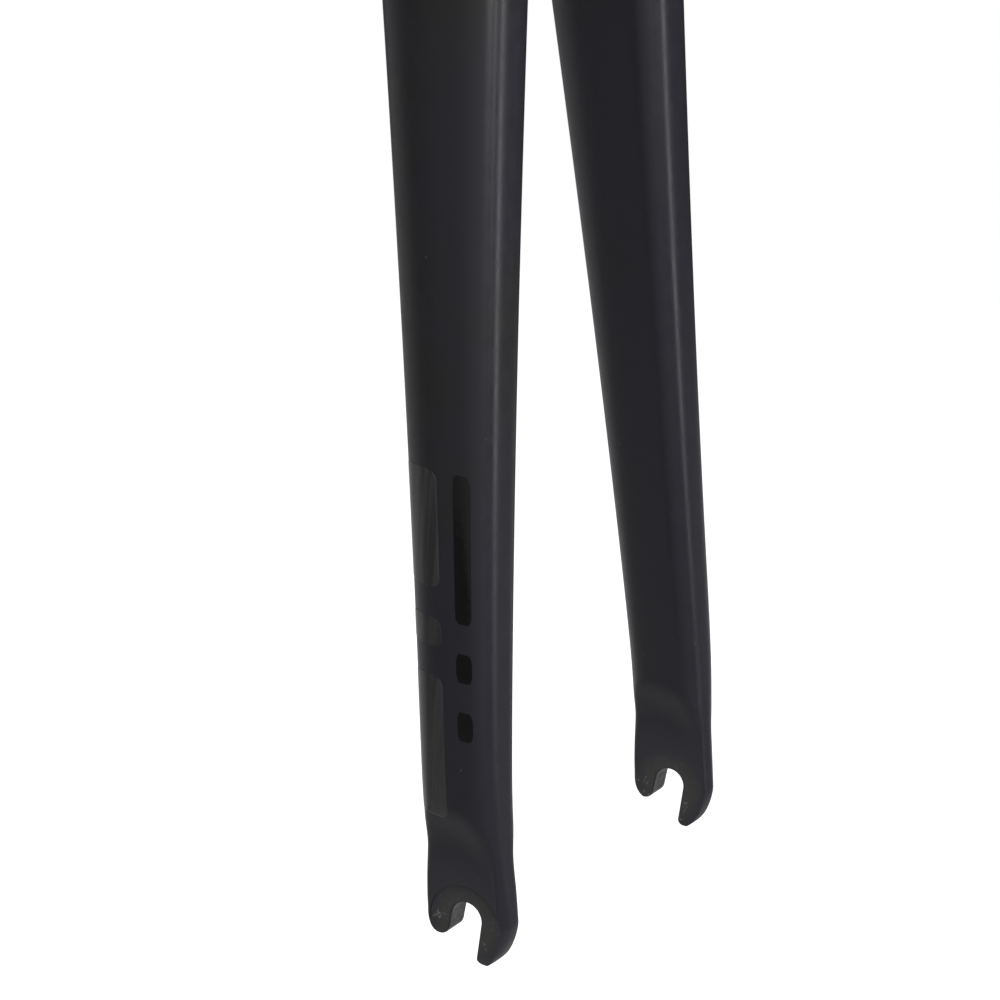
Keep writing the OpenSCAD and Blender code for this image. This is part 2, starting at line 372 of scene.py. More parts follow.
def closed(tree, *meshes):
    """Joins meshes and closes the seams between them."""
    join = tree.nodes.new("GeometryNodeJoinGeometry")
    for mesh in meshes:
        tree.links.new(mesh, join.inputs[0])
    merge = tree.nodes.new("GeometryNodeMergeByDistance")
    merge.inputs["Distance"].default_value = SEAM_GAP * MM
    tree.links.new(join.outputs[0], merge.inputs["Geometry"])
    return merge.outputs["Geometry"]


def mirrored(tree, mesh):
    turn = tree.nodes.new("GeometryNodeTransform")
    turn.inputs["Scale"].default_value = (-1, 1, 1)
    tree.links.new(mesh, turn.inputs["Geometry"])
    flip = tree.nodes.new("GeometryNodeFlipFaces")
    tree.links.new(turn.outputs[0], flip.inputs["Mesh"])
    return flip.outputs["Mesh"]


def finish_tree(tree, given, mesh):
    real = tree.nodes.new("GeometryNodeRealizeInstances")
    tree.links.new(mesh, real.inputs[0])
    paint = tree.nodes.new("GeometryNodeSetMaterial")
    tree.links.new(real.outputs[0], paint.inputs["Geometry"])
    tree.links.new(given.outputs["Finish"], paint.inputs["Material"])
    out = tree.nodes.new("NodeGroupOutput")
    tree.links.new(paint.outputs[0], out.inputs[0])


def plain_mesh(piece):
    """Turns what a piece's modifiers make into its plain mesh."""
    seen = piece.evaluated_get(bpy.context.evaluated_depsgraph_get())
    mesh = bpy.data.meshes.new_from_object(seen)
    piece.modifiers.clear()
    piece.data = mesh
    return piece


def grow(name, tree, sizes, finish):
    """Runs a tree with these sizes and keeps the mesh that it makes."""
    piece = bpy.data.objects.new(name, bpy.data.meshes.new(name))
    bpy.context.scene.collection.objects.link(piece)
    modifier = piece.modifiers.new(tree.name, "NODES")
    modifier.node_group = tree
    for item in tree.interface.items_tree:
        if item.in_out == "INPUT" and item.name in sizes:
            modifier[item.identifier] = sizes[item.name]
        if item.name == "Finish":
            modifier[item.identifier] = finish
    return plain_mesh(piece)


SKIN_ROWS = 180
SKIN_AROUND = 128
FOOT_SHARE = 0.48
FOOT_TOP_H = 40.0
FOOT_CROWDING = 1.4
ROOT_SHARE = 0.78


def wishbone_tree():
    """The blades and the crown as one skin, with its rows closest at the dropouts."""
    tree, size, given = begin_tree("wishbone_rule", SKIN)
    mesh, u, v = sheet_of_points(tree, SKIN_ROWS, SKIN_AROUND)
    low = mix(-size["Front tip drop"], FOOT_TOP_H, (u / FOOT_SHARE).least(1) ** FOOT_CROWDING)
    rise = ((u - FOOT_SHARE) / (ROOT_SHARE - FOOT_SHARE)).most(0)
    h = choose(u.above(FOOT_SHARE), mix(FOOT_TOP_H, root_height(size), rise), low)
    h = h.least(root_height(size))
    t = ((u - ROOT_SHARE) / (1 - ROOT_SHARE)).most(0)
    turn = v * (2 * pi)
    blade = blade_point(size, h, turn, 0)
    arch = arch_point(size, t, turn)
    spot = [choose(u.above(ROOT_SHARE), a, b) for a, b in zip(arch, blade)]
    half = place_points(tree, mesh, size, *spot)
    finish_tree(tree, given, closed(tree, half, mirrored(tree, half)))
    return tree


def capped(piece):
    """Closes the open ends of a skin with one flat face each."""
    work = bmesh.new()
    work.from_mesh(piece.data)
    bmesh.ops.holes_fill(work, edges=[e for e in work.edges if e.is_boundary], sides=0)
    bmesh.ops.recalc_face_normals(work, faces=work.faces)
    work.to_mesh(piece.data)
    work.free()
    return piece


lacquer = bpy.data.materials.new("matt_lacquer")
fork = capped(grow("fork_moulding", wishbone_tree(), SKIN, lacquer))

# Steerer and collar. The tube is wrapped from carbon, tapers above the lower bearing, and is
# bonded into the crown. The collar at its foot stops the bearing's race, which is pressed
# on the short straight seat above it. Each outline lists radius, height and corner radius.
STEERER = [
    (0, -13.5, 0), (25.6, -13.5, 0), (24.5, -4, 12), (24.5, 0, 0.7), (19.9, 0, 0.25),
    (19.9, 5.3, 0.7), (19.2, 5.7, 0.5), (14.3, 90, 60), (14.3, 300, 0.6), (0, 300, 0),
]
STEERER_BORE = [
    (0, -18, 0), (15, -18, 1), (15, 0, 20), (11.1, 90, 60), (11.1, 299.5, 0),
    (11.8, 300.2, 0), (11.8, 302, 0), (0, 302, 0),
]


def eased(outline, steps=6):
    """An outline's points, with each corner rounded to the radius given with it."""
    points = []
    for k, (r, z, radius) in enumerate(outline):
        if radius == 0:
            points.append((r, z))
            continue
        corner = Vector((r, z))
        before = (Vector(outline[k - 1][:2]) - corner).normalized()
        after = (Vector(outline[k + 1][:2]) - corner).normalized()
        half_angle = before.angle(after) / 2
        run = radius * cos(half_angle) / sin(half_angle)
        start, end = corner + before * run, corner + after * run
        middle = corner + (before + after).normalized() * (radius / sin(half_angle))
        for step in range(steps + 1):
            arm = (start - middle).lerp(end - middle, step / steps).normalized() * radius
            points.append(tuple(middle + arm))
    return points


def banded(work, rings):
    """Joins each ring of points to the next one with a band of faces."""
    around = len(rings[0])
    for low, high in zip(rings, rings[1:]):
        for k in range(around):
            corners = [low[k], low[k - around + 1], high[k - around + 1], high[k]]
            work.faces.new(list(dict.fromkeys(corners)))


ON_AXIS = 0.001


def turned(name, outline, around=128, place=Matrix()):
    """A solid turned about Z from an outline of radius, height and corner radius."""
    work = bmesh.new()
    rings = []
    for r, z in eased(outline):
        if r < ON_AXIS:
            rings.append([work.verts.new((0, 0, z * MM))] * around)
        else:
            rings.append([work.verts.new((r * MM * cos(2 * pi * k / around),
                                          r * MM * sin(2 * pi * k / around), z * MM))
                          for k in range(around)])
    banded(work, rings)
    bmesh.ops.recalc_face_normals(work, faces=work.faces)
    work.transform(place)
    return kept(name, work)


def kept(name, work):
    """Makes an object of a finished bmesh."""
    mesh = bpy.data.meshes.new(name)
    work.to_mesh(mesh)
    work.free()
    mesh.materials.append(lacquer)
    piece = bpy.data.objects.new(name, mesh)
    bpy.context.scene.collection.objects.link(piece)
    return piece


WELD_GAP = 0.002
SLIVER = 0.001
UPRIGHT = 0.999999
IN_PLANE = 0.001


def welded(piece, evened=False):
    """Joins points that lie on each other, and upright flat faces that lie in one plane."""
    work = bmesh.new()
    work.from_mesh(piece.data)
    bmesh.ops.remove_doubles(work, verts=work.verts, dist=WELD_GAP * MM)
    bmesh.ops.dissolve_degenerate(work, edges=work.edges, dist=SLIVER * MM)
    if evened:
        seams = [edge for edge in work.edges
                 if all(abs(face.normal.x) > UPRIGHT for face in edge.link_faces)]
        bmesh.ops.dissolve_limit(work, angle_limit=IN_PLANE, edges=seams, verts=[])
    work.to_mesh(piece.data)
    work.free()


def worked(piece, tool, operation):
    """Joins a tool's solid to a piece, or cuts it away, and takes the tool off."""
    cut = piece.modifiers.new(operation, "BOOLEAN")
    cut.operation = operation
    cut.solver = "EXACT"
    cut.object = tool
    plain_mesh(piece)
    bpy.data.objects.remove(tool)
    welded(piece)


worked(fork, turned("steerer", STEERER), "UNION")
worked(fork, turned("steerer_bore", STEERER_BORE), "DIFFERENCE")

# Brake holes. A rim brake hangs on one bolt through the crown: it goes in from the front,
# and a recessed nut takes it from the back. Each hole is drilled through a small flat.
BRAKE_DROP = 13.0
BRAKE_FLAT_Y = 24.4
BRAKE_FLAT_RADIUS = 7.5
BOLT_RADIUS = 3.05
NUT_RADIUS = 4.0
HOLE_LIP = 0.4
HOLE_START_Y = 2
DRILL_RUN = 12
for name, radius, turn in (("bolt_hole", BOLT_RADIUS, pi / 2), ("nut_hole", NUT_RADIUS, -pi / 2)):
    outline = [(0, HOLE_START_Y, 0), (radius, HOLE_START_Y, 0),
               (radius, BRAKE_FLAT_Y - HOLE_LIP, 0), (radius + HOLE_LIP, BRAKE_FLAT_Y, 0.2),
               (BRAKE_FLAT_RADIUS, BRAKE_FLAT_Y, 0.5),
               (BRAKE_FLAT_RADIUS + 1, BRAKE_FLAT_Y + DRILL_RUN, 0),
               (0, BRAKE_FLAT_Y + DRILL_RUN, 0)]
    place = Matrix.Translation((0, 0, -BRAKE_DROP * MM)) @ Matrix.Rotation(turn, 4, "X")
    worked(fork, turned(name, outline, 64, place), "DIFFERENCE")

# Dropouts. The slots are milled open at the bottom, so that the axle drops in from below.
# Their rims are eased and the tips are rounded by hand, and a shallow round seat is faced
# on each outer side for the quick-release nut.
SLOT_HALF = 4.5
SLOT_LEAN = 7.0
SLOT_FLARE = 1.5
FRONT_TIP_RADIUS = 1.7
FRONT_TIP_RUN = SKIN["Front tip drop"] - 1.5 * FRONT_TIP_RADIUS
BACK_TIP_RADIUS = 3.2
BACK_TIP_RUN = SKIN["Back tip drop"] - 0.7 * BACK_TIP_RADIUS
RIM_RADIUS = 0.55
RIM_START = radians(12)
NUT_SEAT = 0.6
NUT_SEAT_RADIUS = 10.8
NUT_SEAT_DROP = 1.5
FRONT_TIP_ROUNDING = {"f_start": 2.0, "f_end": 20.0, "high": -8.2, "low": -12.6, "depth": 2.2}
BACK_TIP_ROUNDING = {"f_start": -20.0, "f_end": -5.6, "high": -4.2, "low": -7.2, "depth": 1.2}
CREASE = radians(32)
PAST_THE_EDGE = 30
PAST_THE_FACE = 3


def wall_spot(lean, side, run, off):
    """A spot beside a slot's wall, as f and height from the axle."""
    lean = radians(lean)
    return Vector((side * off * cos(lean) - run * sin(lean),
                   -side * off * sin(lean) - run * cos(lean)))


def swept(middle, radius, start, end, steps):
    """Spots along an arc, from one angle in degrees to another."""
    return [middle + radius * Vector((cos(a), sin(a)))
            for a in (radians(start + (end - start) * k / steps) for k in range(steps + 1))]


def slot_outline(ease):
    """The outline of what is milled away, grown by the rim's ease on all sides."""
    front_lean = SLOT_LEAN - SLOT_FLARE
    back_lean = SLOT_LEAN + SLOT_FLARE
    front = wall_spot(front_lean, 1, FRONT_TIP_RUN, SLOT_HALF + FRONT_TIP_RADIUS)
    back = wall_spot(back_lean, -1, BACK_TIP_RUN, SLOT_HALF + BACK_TIP_RADIUS)
    far = PAST_THE_EDGE
    return (swept(Vector((0, 0)), SLOT_HALF + ease, -front_lean, 180 - back_lean, 48)
            + swept(back, BACK_TIP_RADIUS - ease, -back_lean, -90, 20)
            + [Vector((-far, back.y - BACK_TIP_RADIUS + ease)), Vector((-far, -far)),
               Vector((far, -far)), Vector((far, front.y - FRONT_TIP_RADIUS + ease))]
            + swept(front, FRONT_TIP_RADIUS - ease, 270, 180 - front_lean, 14))


def prism(name, side, rings):
    """A solid through rings of spots on one side, each as x, f and height from the axle."""
    work = bmesh.new()
    rings = [[work.verts.new((side * x * MM, (-SKIN["Rake"] - f) * MM,
                              (h - SKIN["Axle to crown"]) * MM)) for x, f, h in ring]
             for ring in rings]
    banded(work, rings)
    for end in (rings[0], rings[-1]):
        work.faces.new(end)
    bmesh.ops.recalc_face_normals(work, faces=work.faces)
    return kept(name, work)


def slot_cutter(name, side):
    """The milled slot, flared where it meets the inner face and the nut's seat."""
    inner = SKIN["Hub width"] / 2
    outer = inner + SKIN["Dropout thickness"] - NUT_SEAT
    steps = 6
    rim = [(RIM_RADIUS * (1 - cos(a)), RIM_RADIUS * (1 - sin(a)))
           for a in (RIM_START + (pi / 2 - RIM_START) * k / steps for k in range(steps + 1))]
    stations = ([(inner - PAST_THE_FACE, rim[0][1])] + [(inner + x, e) for x, e in rim]
                + [(outer - x, e) for x, e in reversed(rim)]
                + [(outer + PAST_THE_FACE, rim[0][1])])
    return prism(name, side, [[(x, *spot) for spot in slot_outline(ease)]
                              for x, ease in stations])


TIP_RUN_IN = 4
SKIMMED = 0.02


def tip_cutter(name, side, f_start, f_end, high, low, depth):
    """Rounds the outer face of a tip down to its lower end, from one place to the next."""
    face = SKIN["Hub width"] / 2 + SKIN["Dropout thickness"] - NUT_SEAT
    steps = 8
    arc = [(face - depth * (1 - cos(a)) + SKIMMED, high - (high - low) * sin(a))
           for a in (pi / 2 * k / steps for k in range(steps + 1))]
    profile = ([(face + PAST_THE_FACE, high + TIP_RUN_IN),
                (face + NUT_SEAT + SKIMMED, high + TIP_RUN_IN)]
               + arc + [(face + PAST_THE_FACE, low)])
    return prism(name, side, [[(x, f, h) for x, h in profile] for f in (f_start, f_end)])


SEAT_FLARE = 0.5
SEAT_CLEARANCE = 1.4


def seat_cutter(name, side):
    """The shallow round seat for the quick-release nut."""
    outer = SKIN["Hub width"] / 2 + SKIN["Dropout thickness"]
    outline = [(0, outer - NUT_SEAT, 0), (NUT_SEAT_RADIUS, outer - NUT_SEAT, 0.25),
               (NUT_SEAT_RADIUS + SEAT_FLARE, outer + SEAT_CLEARANCE, 0),
               (0, outer + SEAT_CLEARANCE, 0)]
    seat_middle = (0, -SKIN["Rake"] * MM, -(SKIN["Axle to crown"] + NUT_SEAT_DROP) * MM)
    place = Matrix.Translation(seat_middle) @ Matrix.Rotation(side * pi / 2, 4, "Y")
    return turned(name, outline, 128, place)


def paired(cutter, **sizes):
    """A cutter's tools for both sides, as one."""
    pair = cutter("left", 1, **sizes)
    other = cutter("right", -1, **sizes)
    work = bmesh.new()
    for tool in (pair, other):
        work.from_mesh(tool.data)
    work.to_mesh(pair.data)
    work.free()
    bpy.data.objects.remove(other)
    return pair


worked(fork, paired(seat_cutter), "DIFFERENCE")
worked(fork, paired(tip_cutter, **FRONT_TIP_ROUNDING), "DIFFERENCE")
worked(fork, paired(tip_cutter, **BACK_TIP_ROUNDING), "DIFFERENCE")
worked(fork, paired(slot_cutter), "DIFFERENCE")
welded(fork, evened=True)
fork.data.shade_smooth()
fork.data.set_sharp_from_angle(angle=CREASE)
even = fork.modifiers.new("even_normals", "WEIGHTED_NORMAL")
even.keep_sharp = True
plain_mesh(fork)
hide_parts("fork")
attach(fork, "root")

# Matt lacquer. The moulding is sprayed black and then clear-coated matt. The lacquer has a
# faint blue cast in places, partly random tone and partly a painted tint of reflected light
# that leans to the left blade and the low ends, fine grain, a little dust, and pale wear where
# the hub and the nut have bitten into the dropouts. The flat faces low on the dropouts get a
# painted sheen, and the slot walls get their wear with a painted glint. Above the collar the
# steerer is bare carbon.
BLACK = (0.0250, 0.0250, 0.0242)
BLUE_BLACK = (0.0272, 0.0258, 0.0366)
PALE_GRAIN = (0.032, 0.032, 0.034)
DUST_GREY = (0.12, 0.12, 0.12)
PAINTED_SHEEN_GREY = (0.054, 0.051, 0.064)
CLAMPED_GREY = (0.080, 0.080, 0.075)
BITTEN_GREY = (0.27, 0.265, 0.255)
SCUFF_AND_GLINT_GREY = (0.14, 0.14, 0.137)
CARBON_BLACK = (0.022, 0.022, 0.023)
CARBON_FIBRE = (0.028, 0.028, 0.030)
CAST_NOISE = (18.0, 2.0)
GRAIN_NOISE = (2600.0, 2.0)
DUST_NOISE = (420.0, 1.0)
CLUSTER_NOISE = (260.0, 2.0)
BITE_NOISE = (1100.0, 4.0, 0.7)
SCUFF_AND_GLINT_NOISE = (330.0, 3.0, 0.6)
MOTTLE_NOISE = (240.0,)
LIT_TINT_ACROSS = (-20, 20)
LIT_TINT_UP = (60, 160)
LIT_TINT_LEAN = 0.15
FLAT_FACING = (0.9, 0.98)
PAINTED_SHEEN_FADE = (8, 28)
SEAT_FADE = (6.0, 12.8)
RING_START = (5.2, 6.4)
RING_END = (9.8, 11.8)
RING_TOP = (-1.0, 1.5)
RING_STEP = 4
RING_STEP_BEHIND = (-2, 2)
WALL_EDGE = (5.8, 7.0)
WALL_FACING = (0.35, 0.7)
WALL_TOP = (4.7, 5.5)
LACQUER_TOP = (0.2, 0.6)
LACQUER_ROUGHNESS = 0.30


def paint(material):
    """Empties a material and returns its node tree with a Principled shader wired up."""
    material.use_nodes = True
    tree = material.node_tree
    tree.nodes.clear()
    shader = tree.nodes.new("ShaderNodeBsdfPrincipled")
    out = tree.nodes.new("ShaderNodeOutputMaterial")
    tree.links.new(shader.outputs[0], out.inputs["Surface"])
    place = tree.nodes.new("ShaderNodeTexCoord").outputs["Object"]
    return tree, shader, place


def finished(tree, shader, colour, rough):
    """Gives a shader its colour and its roughness."""
    tree.links.new(colour, shader.inputs["Base Color"])
    tree.links.new(rough.socket, shader.inputs["Roughness"])


def ruffled(tree, shader, relief, strength, depth):
    """Bumps the surface by a relief of this depth in millimetres."""
    bump = tree.nodes.new("ShaderNodeBump")
    bump.inputs["Strength"].default_value = strength
    bump.inputs["Distance"].default_value = depth * MM
    tree.links.new(relief.socket, bump.inputs["Height"])
    tree.links.new(bump.outputs[0], shader.inputs["Normal"])


def speckle(tree, place, scale, detail=3.0, roughness=0.5):
    """Noise in object space, as a number from 0 to 1."""
    noise = tree.nodes.new("ShaderNodeTexNoise")
    noise.inputs["Scale"].default_value = scale
    noise.inputs["Detail"].default_value = detail
    noise.inputs["Roughness"].default_value = roughness
    tree.links.new(place, noise.inputs["Vector"])
    return Measure(tree, noise.outputs["Fac"])


def between(value, low, high):
    """How far a number is from low to high, from 0 to 1."""
    node = value.tree.nodes.new("ShaderNodeMapRange")
    node.interpolation_type = "SMOOTHSTEP"
    node.inputs["From Min"].default_value = low
    node.inputs["From Max"].default_value = high
    value.tree.links.new(value.socket, node.inputs["Value"])
    return Measure(value.tree, node.outputs["Result"])


def tint(share, under, over):
    """A colour that goes from under to over, each a colour or another tint."""
    node = share.tree.nodes.new("ShaderNodeMix")
    node.data_type = "RGBA"
    share.tree.links.new(share.socket, node.inputs["Factor"])
    for slot, colour in ((node.inputs[6], under), (node.inputs[7], over)):
        if isinstance(colour, tuple):
            slot.default_value = (*colour, 1)
        else:
            share.tree.links.new(colour, slot)
    return node.outputs[2]


def along_axes(tree, place):
    """The three parts of a place or a direction."""
    parts = tree.nodes.new("ShaderNodeSeparateXYZ")
    tree.links.new(place, parts.inputs[0])
    return [Measure(tree, parts.outputs[k]) for k in range(3)]


def in_millimetres(tree, place):
    """A place in object space, as its x, y and z in millimetres."""
    return [part / MM for part in along_axes(tree, place)]


tree, shader, place = paint(lacquer)
x, y, z = in_millimetres(tree, place)
behind, up = y + SKIN["Rake"], z + SKIN["Axle to crown"]

# Blue tint: random patches of bluer black, plus a painted tint of reflected light that leans to
# the left blade and to the low ends of both blades.
cast = speckle(tree, place, *CAST_NOISE) + between(x, *LIT_TINT_ACROSS) * LIT_TINT_LEAN
tone_and_lit_tint = between(cast + (1 - between(up, *LIT_TINT_UP)) * LIT_TINT_LEAN, 0.40, 0.60)
colour = tint(tone_and_lit_tint, BLACK, BLUE_BLACK)
grain = speckle(tree, place, *GRAIN_NOISE)
colour = tint(between(grain, 0.3, 0.7) * 0.25, colour, PALE_GRAIN)
dust = between(speckle(tree, place, *DUST_NOISE), 0.80, 0.84)
colour = tint(dust * 0.7, colour, DUST_GREY)

normal = tree.nodes.new("ShaderNodeNewGeometry").outputs["Normal"]
facing = along_axes(tree, normal)[0].step("ABSOLUTE")
flat = between(facing, *FLAT_FACING)
# Painted sheen: a lighter bluish grey on faces that face straight sideways, low on the dropouts,
# where light falls on the flat faces.
colour = tint(flat * (1 - between(up, *PAINTED_SHEEN_FADE)) * 0.8, colour, PAINTED_SHEEN_GREY)
over_seat = up + NUT_SEAT_DROP
from_seat = (behind * behind + over_seat * over_seat).step("SQRT")
seat = flat * (1 - between(from_seat, *SEAT_FADE))
colour = tint(seat * 0.9, colour, CLAMPED_GREY)

clusters = between(speckle(tree, place, *CLUSTER_NOISE), 0.51, 0.60)
bites = between(speckle(tree, place, *BITE_NOISE), 0.50, 0.60) * clusters
ring = between(from_seat, *RING_START) * (1 - between(from_seat, *RING_END))
ring_up = up + (1 - between(behind, *RING_STEP_BEHIND)) * RING_STEP
ring = ring * (1 - between(ring_up, *RING_TOP) * 0.9)
colour = tint(bites * ring * flat, colour, BITTEN_GREY)
# Slot walls: pale wear from the axle, with a painted glint in lighter streaks.
walls = (1 - between(behind.step("ABSOLUTE"), *WALL_EDGE)) * (
    1 - between(facing, *WALL_FACING)) * (1 - between(up, *WALL_TOP))
scuff_and_glint_streaks = between(speckle(tree, place, *SCUFF_AND_GLINT_NOISE), 0.36, 0.62)
colour = tint(walls * (0.2 + scuff_and_glint_streaks * 0.8), colour, SCUFF_AND_GLINT_GREY)

bare = between(z, *LACQUER_TOP)
wrap = tree.nodes.new("ShaderNodeTexWave")
wrap.bands_direction = "Z"
wrap.inputs["Scale"].default_value = 90
wrap.inputs["Distortion"].default_value = 2.5
wrap.inputs["Detail"].default_value = 3
tree.links.new(place, wrap.inputs["Vector"])
carbon = tint(Measure(tree, wrap.outputs["Fac"]) * 0.5, CARBON_BLACK, CARBON_FIBRE)
colour = tint(bare, colour, carbon)
mottle = between(speckle(tree, place, *MOTTLE_NOISE), 0.3, 0.7)
rough = LACQUER_ROUGHNESS + mottle * 0.06 + bare * 0.1 - walls * 0.12
finished(tree, shader, colour, rough)
ruffled(tree, shader, grain, 0.25, 0.05)

# Gloss film. Blocks of thin black film are laid on the lacquer, low on the outer side of
# each blade, and shine where the lacquer is dull. Behind the blade's middle a painted
# reflection lightens them in long streaks. A block has its rows, and its start and end round the
# blade in degrees.
FILM_LOW_H = 28.0
FILM_LENGTH = 90.0
FILM_THICKNESS = 0.08
FILM_EDGE = 0.12
FILM_CORNER = 2.5
FILM_ROWS = 60
FILM_COLUMNS = 40
FILM_EDGE_SHARE = 0.012
FILM_NARROWING = 0.5
BLOCK_ROWS = 12
FILM_BLOCKS = [
    (0, 5, -63, -16), (6, 7, -63, -16), (8, 12, -63, -16),
    (3, 4, 0, 28), (5, 6, 0, 28), (7, 12, 0, 28),
]


def with_edges(place, cells, edge):
    """Keeps the first and last of the cells along a side to the width of an edge."""
    cell = place * cells
    inside = ((cell - 1) / (cells - 2)).most(0).least(1)
    last = (cell - (cells - 1)).most(0)
    return (cell.least(1) + last) * edge + inside * (1 - edge * 2), cell.least(cells - cell)


def film_tree():
    """A patch of film on a blade's skin, thin all over and with rounded corners."""
    limits = {"Low h": FILM_LOW_H, "High h": FILM_LOW_H + FILM_LENGTH, "Start turn": -pi / 3,
              "End turn": 0, "Thickness": FILM_THICKNESS}
    tree, size, given = begin_tree("film_rule", {**SKIN, **limits})
    sheets = []
    for lift in (1, 0):
        mesh, u, v = sheet_of_points(tree, FILM_ROWS + 1, FILM_COLUMNS)
        length = size["High h"] - size["Low h"]
        along, row = with_edges(u, FILM_ROWS, FILM_EDGE / length)
        around, column = with_edges(v, FILM_COLUMNS, FILM_EDGE_SHARE)
        from_end = (0.5 - (along - 0.5).step("ABSOLUTE")) * length
        corner = 1 - from_end.least(FILM_CORNER) / FILM_CORNER
        narrow = 1 - (1 - (1 - corner * corner).step("SQRT")) * FILM_NARROWING
        turn = mix(size["Start turn"], size["End turn"], 0.5 + (around - 0.5) * narrow)
        rise = size["Thickness"] * lift * row.least(column).least(1)
        h = mix(size["Low h"], size["High h"], along)
        x, f, h = blade_point(size, h, turn, -rise)
        sheets.append(place_points(tree, mesh, size, x, f, h))
    flip = tree.nodes.new("GeometryNodeFlipFaces")
    tree.links.new(sheets[1], flip.inputs["Mesh"])
    finish_tree(tree, given, closed(tree, sheets[0], flip.outputs["Mesh"]))
    return tree


film = bpy.data.materials.new("gloss_film")
film_rule = film_tree()
for side, node in ((1, "graphic_left"), (-1, "graphic_right")):
    work = bmesh.new()
    for low_row, high_row, start, end in FILM_BLOCKS:
        patch = grow("patch", film_rule, {
            **SKIN, "Low h": FILM_LOW_H + FILM_LENGTH * low_row / BLOCK_ROWS,
            "High h": FILM_LOW_H + FILM_LENGTH * high_row / BLOCK_ROWS,
            "Start turn": radians(start), "End turn": radians(end),
            "Thickness": FILM_THICKNESS}, film)
        work.from_mesh(patch.data)
        bpy.data.objects.remove(patch)
    bmesh.ops.scale(work, vec=(side, 1, 1), verts=work.verts)
    bmesh.ops.recalc_face_normals(work, faces=work.faces)
    mesh = bpy.data.meshes.new("film_" + node)
    work.to_mesh(mesh)
    work.free()
    mesh.materials.append(film)
    mesh.shade_smooth()
    mesh.set_sharp_from_angle(angle=CREASE)
    piece = bpy.data.objects.new("film_" + node, mesh)
    bpy.context.scene.collection.objects.link(piece)
    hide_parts(node)
    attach(piece, "root")

BLADE_LENGTH = SKIN["Axle to crown"] - SKIN["Crown height"]
BLADE_LEAN = (SKIN["Rake"] - SKIN["Root forward"]) / BLADE_LENGTH
GLOSS_BLACK = (0.004, 0.004, 0.005)
GLOSS_PATCH = (0.007, 0.007, 0.008)
PAINTED_REFLECTION_GREY = (0.066, 0.066, 0.068)
STREAK_STRETCH = (1, 1, 0.06)
BACK_COLUMN_EDGE = (-1, 1)
STREAK_NOISE = (380.0, 2.0)
RIPPLE_NOISE = (500.0, 2.0)
FILM_ROUGHNESS = 0.07
tree, shader, place = paint(film)
colour = tint(between(speckle(tree, place, 60.0, 3.0), 0.35, 0.7), GLOSS_BLACK, GLOSS_PATCH)
x, y, z = in_millimetres(tree, place)
# Painted reflection: behind the blade's middle the film is lighter grey in long streaks, where it
# mirrors the brighter room; it is also a little rougher there.
behind_middle = y + SKIN["Rake"] - (z + SKIN["Axle to crown"]) * BLADE_LEAN
back_column = between(behind_middle, *BACK_COLUMN_EDGE)
stretch = tree.nodes.new("ShaderNodeMapping")
stretch.inputs["Scale"].default_value = STREAK_STRETCH
tree.links.new(place, stretch.inputs["Vector"])
reflection_streaks = between(speckle(tree, stretch.outputs[0], *STREAK_NOISE), 0.35, 0.65)
colour = tint(back_column * (0.55 + reflection_streaks * 0.45), colour, PAINTED_REFLECTION_GREY)
mottle = between(speckle(tree, place, 400.0), 0.3, 0.7)
finished(tree, shader, colour, FILM_ROUGHNESS + mottle * 0.05 + back_column * 0.12)
ruffled(tree, shader, speckle(tree, place, *RIPPLE_NOISE), 0.2, 0.04)

# Studio, measured in metres. The fork hangs by its steerer over a pale floor, in a dim room
# that the camera sees as white. Soft lamps in front draw the line of light down the front
# edges, and two high ones light the back and the left.
CAMERA_AZIMUTH = radians(-58.094)
CAMERA_ELEVATION = radians(17.978)
CAMERA_ROLL = radians(2.649)
CAMERA_DISTANCE = 0.685753
CAMERA_TARGET = Vector((-0.014227, -0.020549, -0.268739))
CAMERA_LENS = 93.472
SENSOR = 36.0

away = Vector((sin(CAMERA_AZIMUTH) * cos(CAMERA_ELEVATION),
               -cos(CAMERA_AZIMUTH) * cos(CAMERA_ELEVATION), sin(CAMERA_ELEVATION)))
level = Vector((cos(CAMERA_AZIMUTH), sin(CAMERA_AZIMUTH), 0))
upright = away.cross(level)
right = level * cos(CAMERA_ROLL) + upright * sin(CAMERA_ROLL)
over = -level * sin(CAMERA_ROLL) + upright * cos(CAMERA_ROLL)
camera = bpy.data.objects.new("camera", bpy.data.cameras.new("camera"))
camera.data.sensor_width = SENSOR
camera.data.lens = CAMERA_LENS
camera.data.clip_start = 0.01
turn = Matrix((right, over, away)).transposed().to_4x4()
camera.matrix_world = Matrix.Translation(CAMERA_TARGET + away * CAMERA_DISTANCE) @ turn
bpy.context.scene.collection.objects.link(camera)
bpy.context.scene.camera = camera

FLOOR_Z = -0.9
FLOOR_RADIUS = 3.0
FLOOR_GREY = (0.60, 0.60, 0.60)
FLOOR_PALE = (0.63, 0.63, 0.63)
FLOOR_ROUGHNESS = 0.9
BEHIND = -Vector((away.x, away.y, 0)).normalized()
LEFT = -level
UP = Vector((0, 0, 1))
BACK_LEFT = (BEHIND + LEFT * 0.3 - UP * 0.35).normalized()
BACK_LEFT_SPREAD = (0.95, 0.99)
BACK_LEFT_WHITE = 0.35
work = bmesh.new()
bmesh.ops.create_circle(work, cap_ends=True, segments=96, radius=FLOOR_RADIUS)
bmesh.ops.translate(work, vec=(0, 0, FLOOR_Z), verts=work.verts)
floor = kept("floor", work)
floor_paint = bpy.data.materials.new("pale_floor")
floor.data.materials.clear()
floor.data.materials.append(floor_paint)


def toward(tree, direction, aim, low, high):
    """How far a direction leans to an aim, from 0 to 1."""
    return between(sum(part * a for part, a in zip(along_axes(tree, direction), aim)), low, high)


